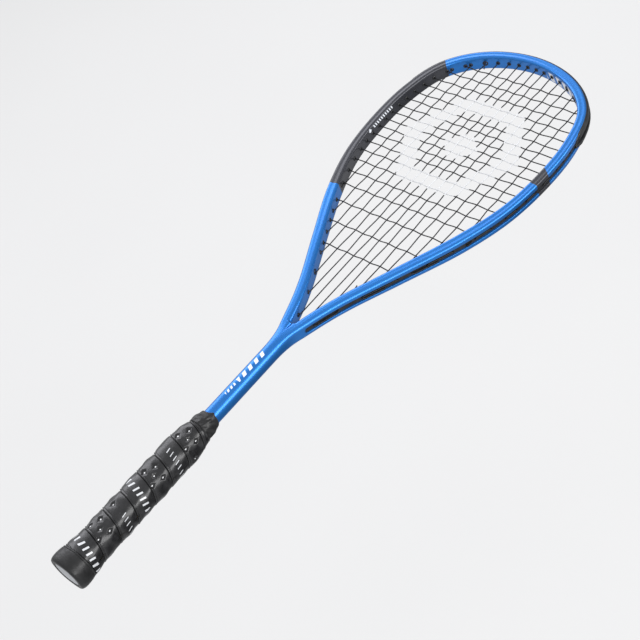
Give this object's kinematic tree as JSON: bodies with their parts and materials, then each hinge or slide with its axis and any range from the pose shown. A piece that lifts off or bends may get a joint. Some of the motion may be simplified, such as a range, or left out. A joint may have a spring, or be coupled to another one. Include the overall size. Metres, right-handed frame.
{
  "type": "squash racket",
  "caption": "Strung squash racket: one bent tube makes a teardrop head with an open throat and a slim shaft, with a bumper guard round the tip, a wrapped handle and a flared butt cap.",
  "frame": {"origin": "centre of the butt's end face, on the plane of the strings", "axes": "+Y from the butt to the tip of the head, +X across the head, +Z out of the racket's front face"},
  "size_m": [0.2146, 0.684, 0.0352],
  "materials": {
    "frame_paint": "satin metallic blue lacquer over carbon laminate",
    "damper_foam": "closed-cell foam",
    "bumper_nylon": "moulded satin nylon",
    "grommet_nylon": "moulded nylon",
    "string": "coated multifilament",
    "pallet_foam": "moulded rigid foam",
    "cap_rubber": "soft matt moulding",
    "end_plate": "satin light grey moulding",
    "staple_steel": "bright wire",
    "grip_tape": "perforated soft polyurethane, semi-gloss",
    "collar_rubber": "stretched thin tape and rubber sleeve"
  },
  "bodies": {
    "root": {"frame": "frame_paint", "left_shoulder_damper": "damper_foam", "right_shoulder_damper": "damper_foam", "shaft_end_plug": "damper_foam", "head_bumper_guard": "bumper_nylon", "left_grommet_strip": "grommet_nylon", "right_grommet_strip": "grommet_nylon", "main_string": "string", "cross_string": "string", "front_handle_pallet": "pallet_foam", "rear_handle_pallet": "pallet_foam", "butt_cap": "cap_rubber", "butt_end_plate": "end_plate", "front_butt_cap_staple": "staple_steel", "rear_butt_cap_staple": "staple_steel", "grip_start_staple": "staple_steel", "grip_tape": "grip_tape", "finishing_collar": "collar_rubber"}
  },
  "joints": []
}
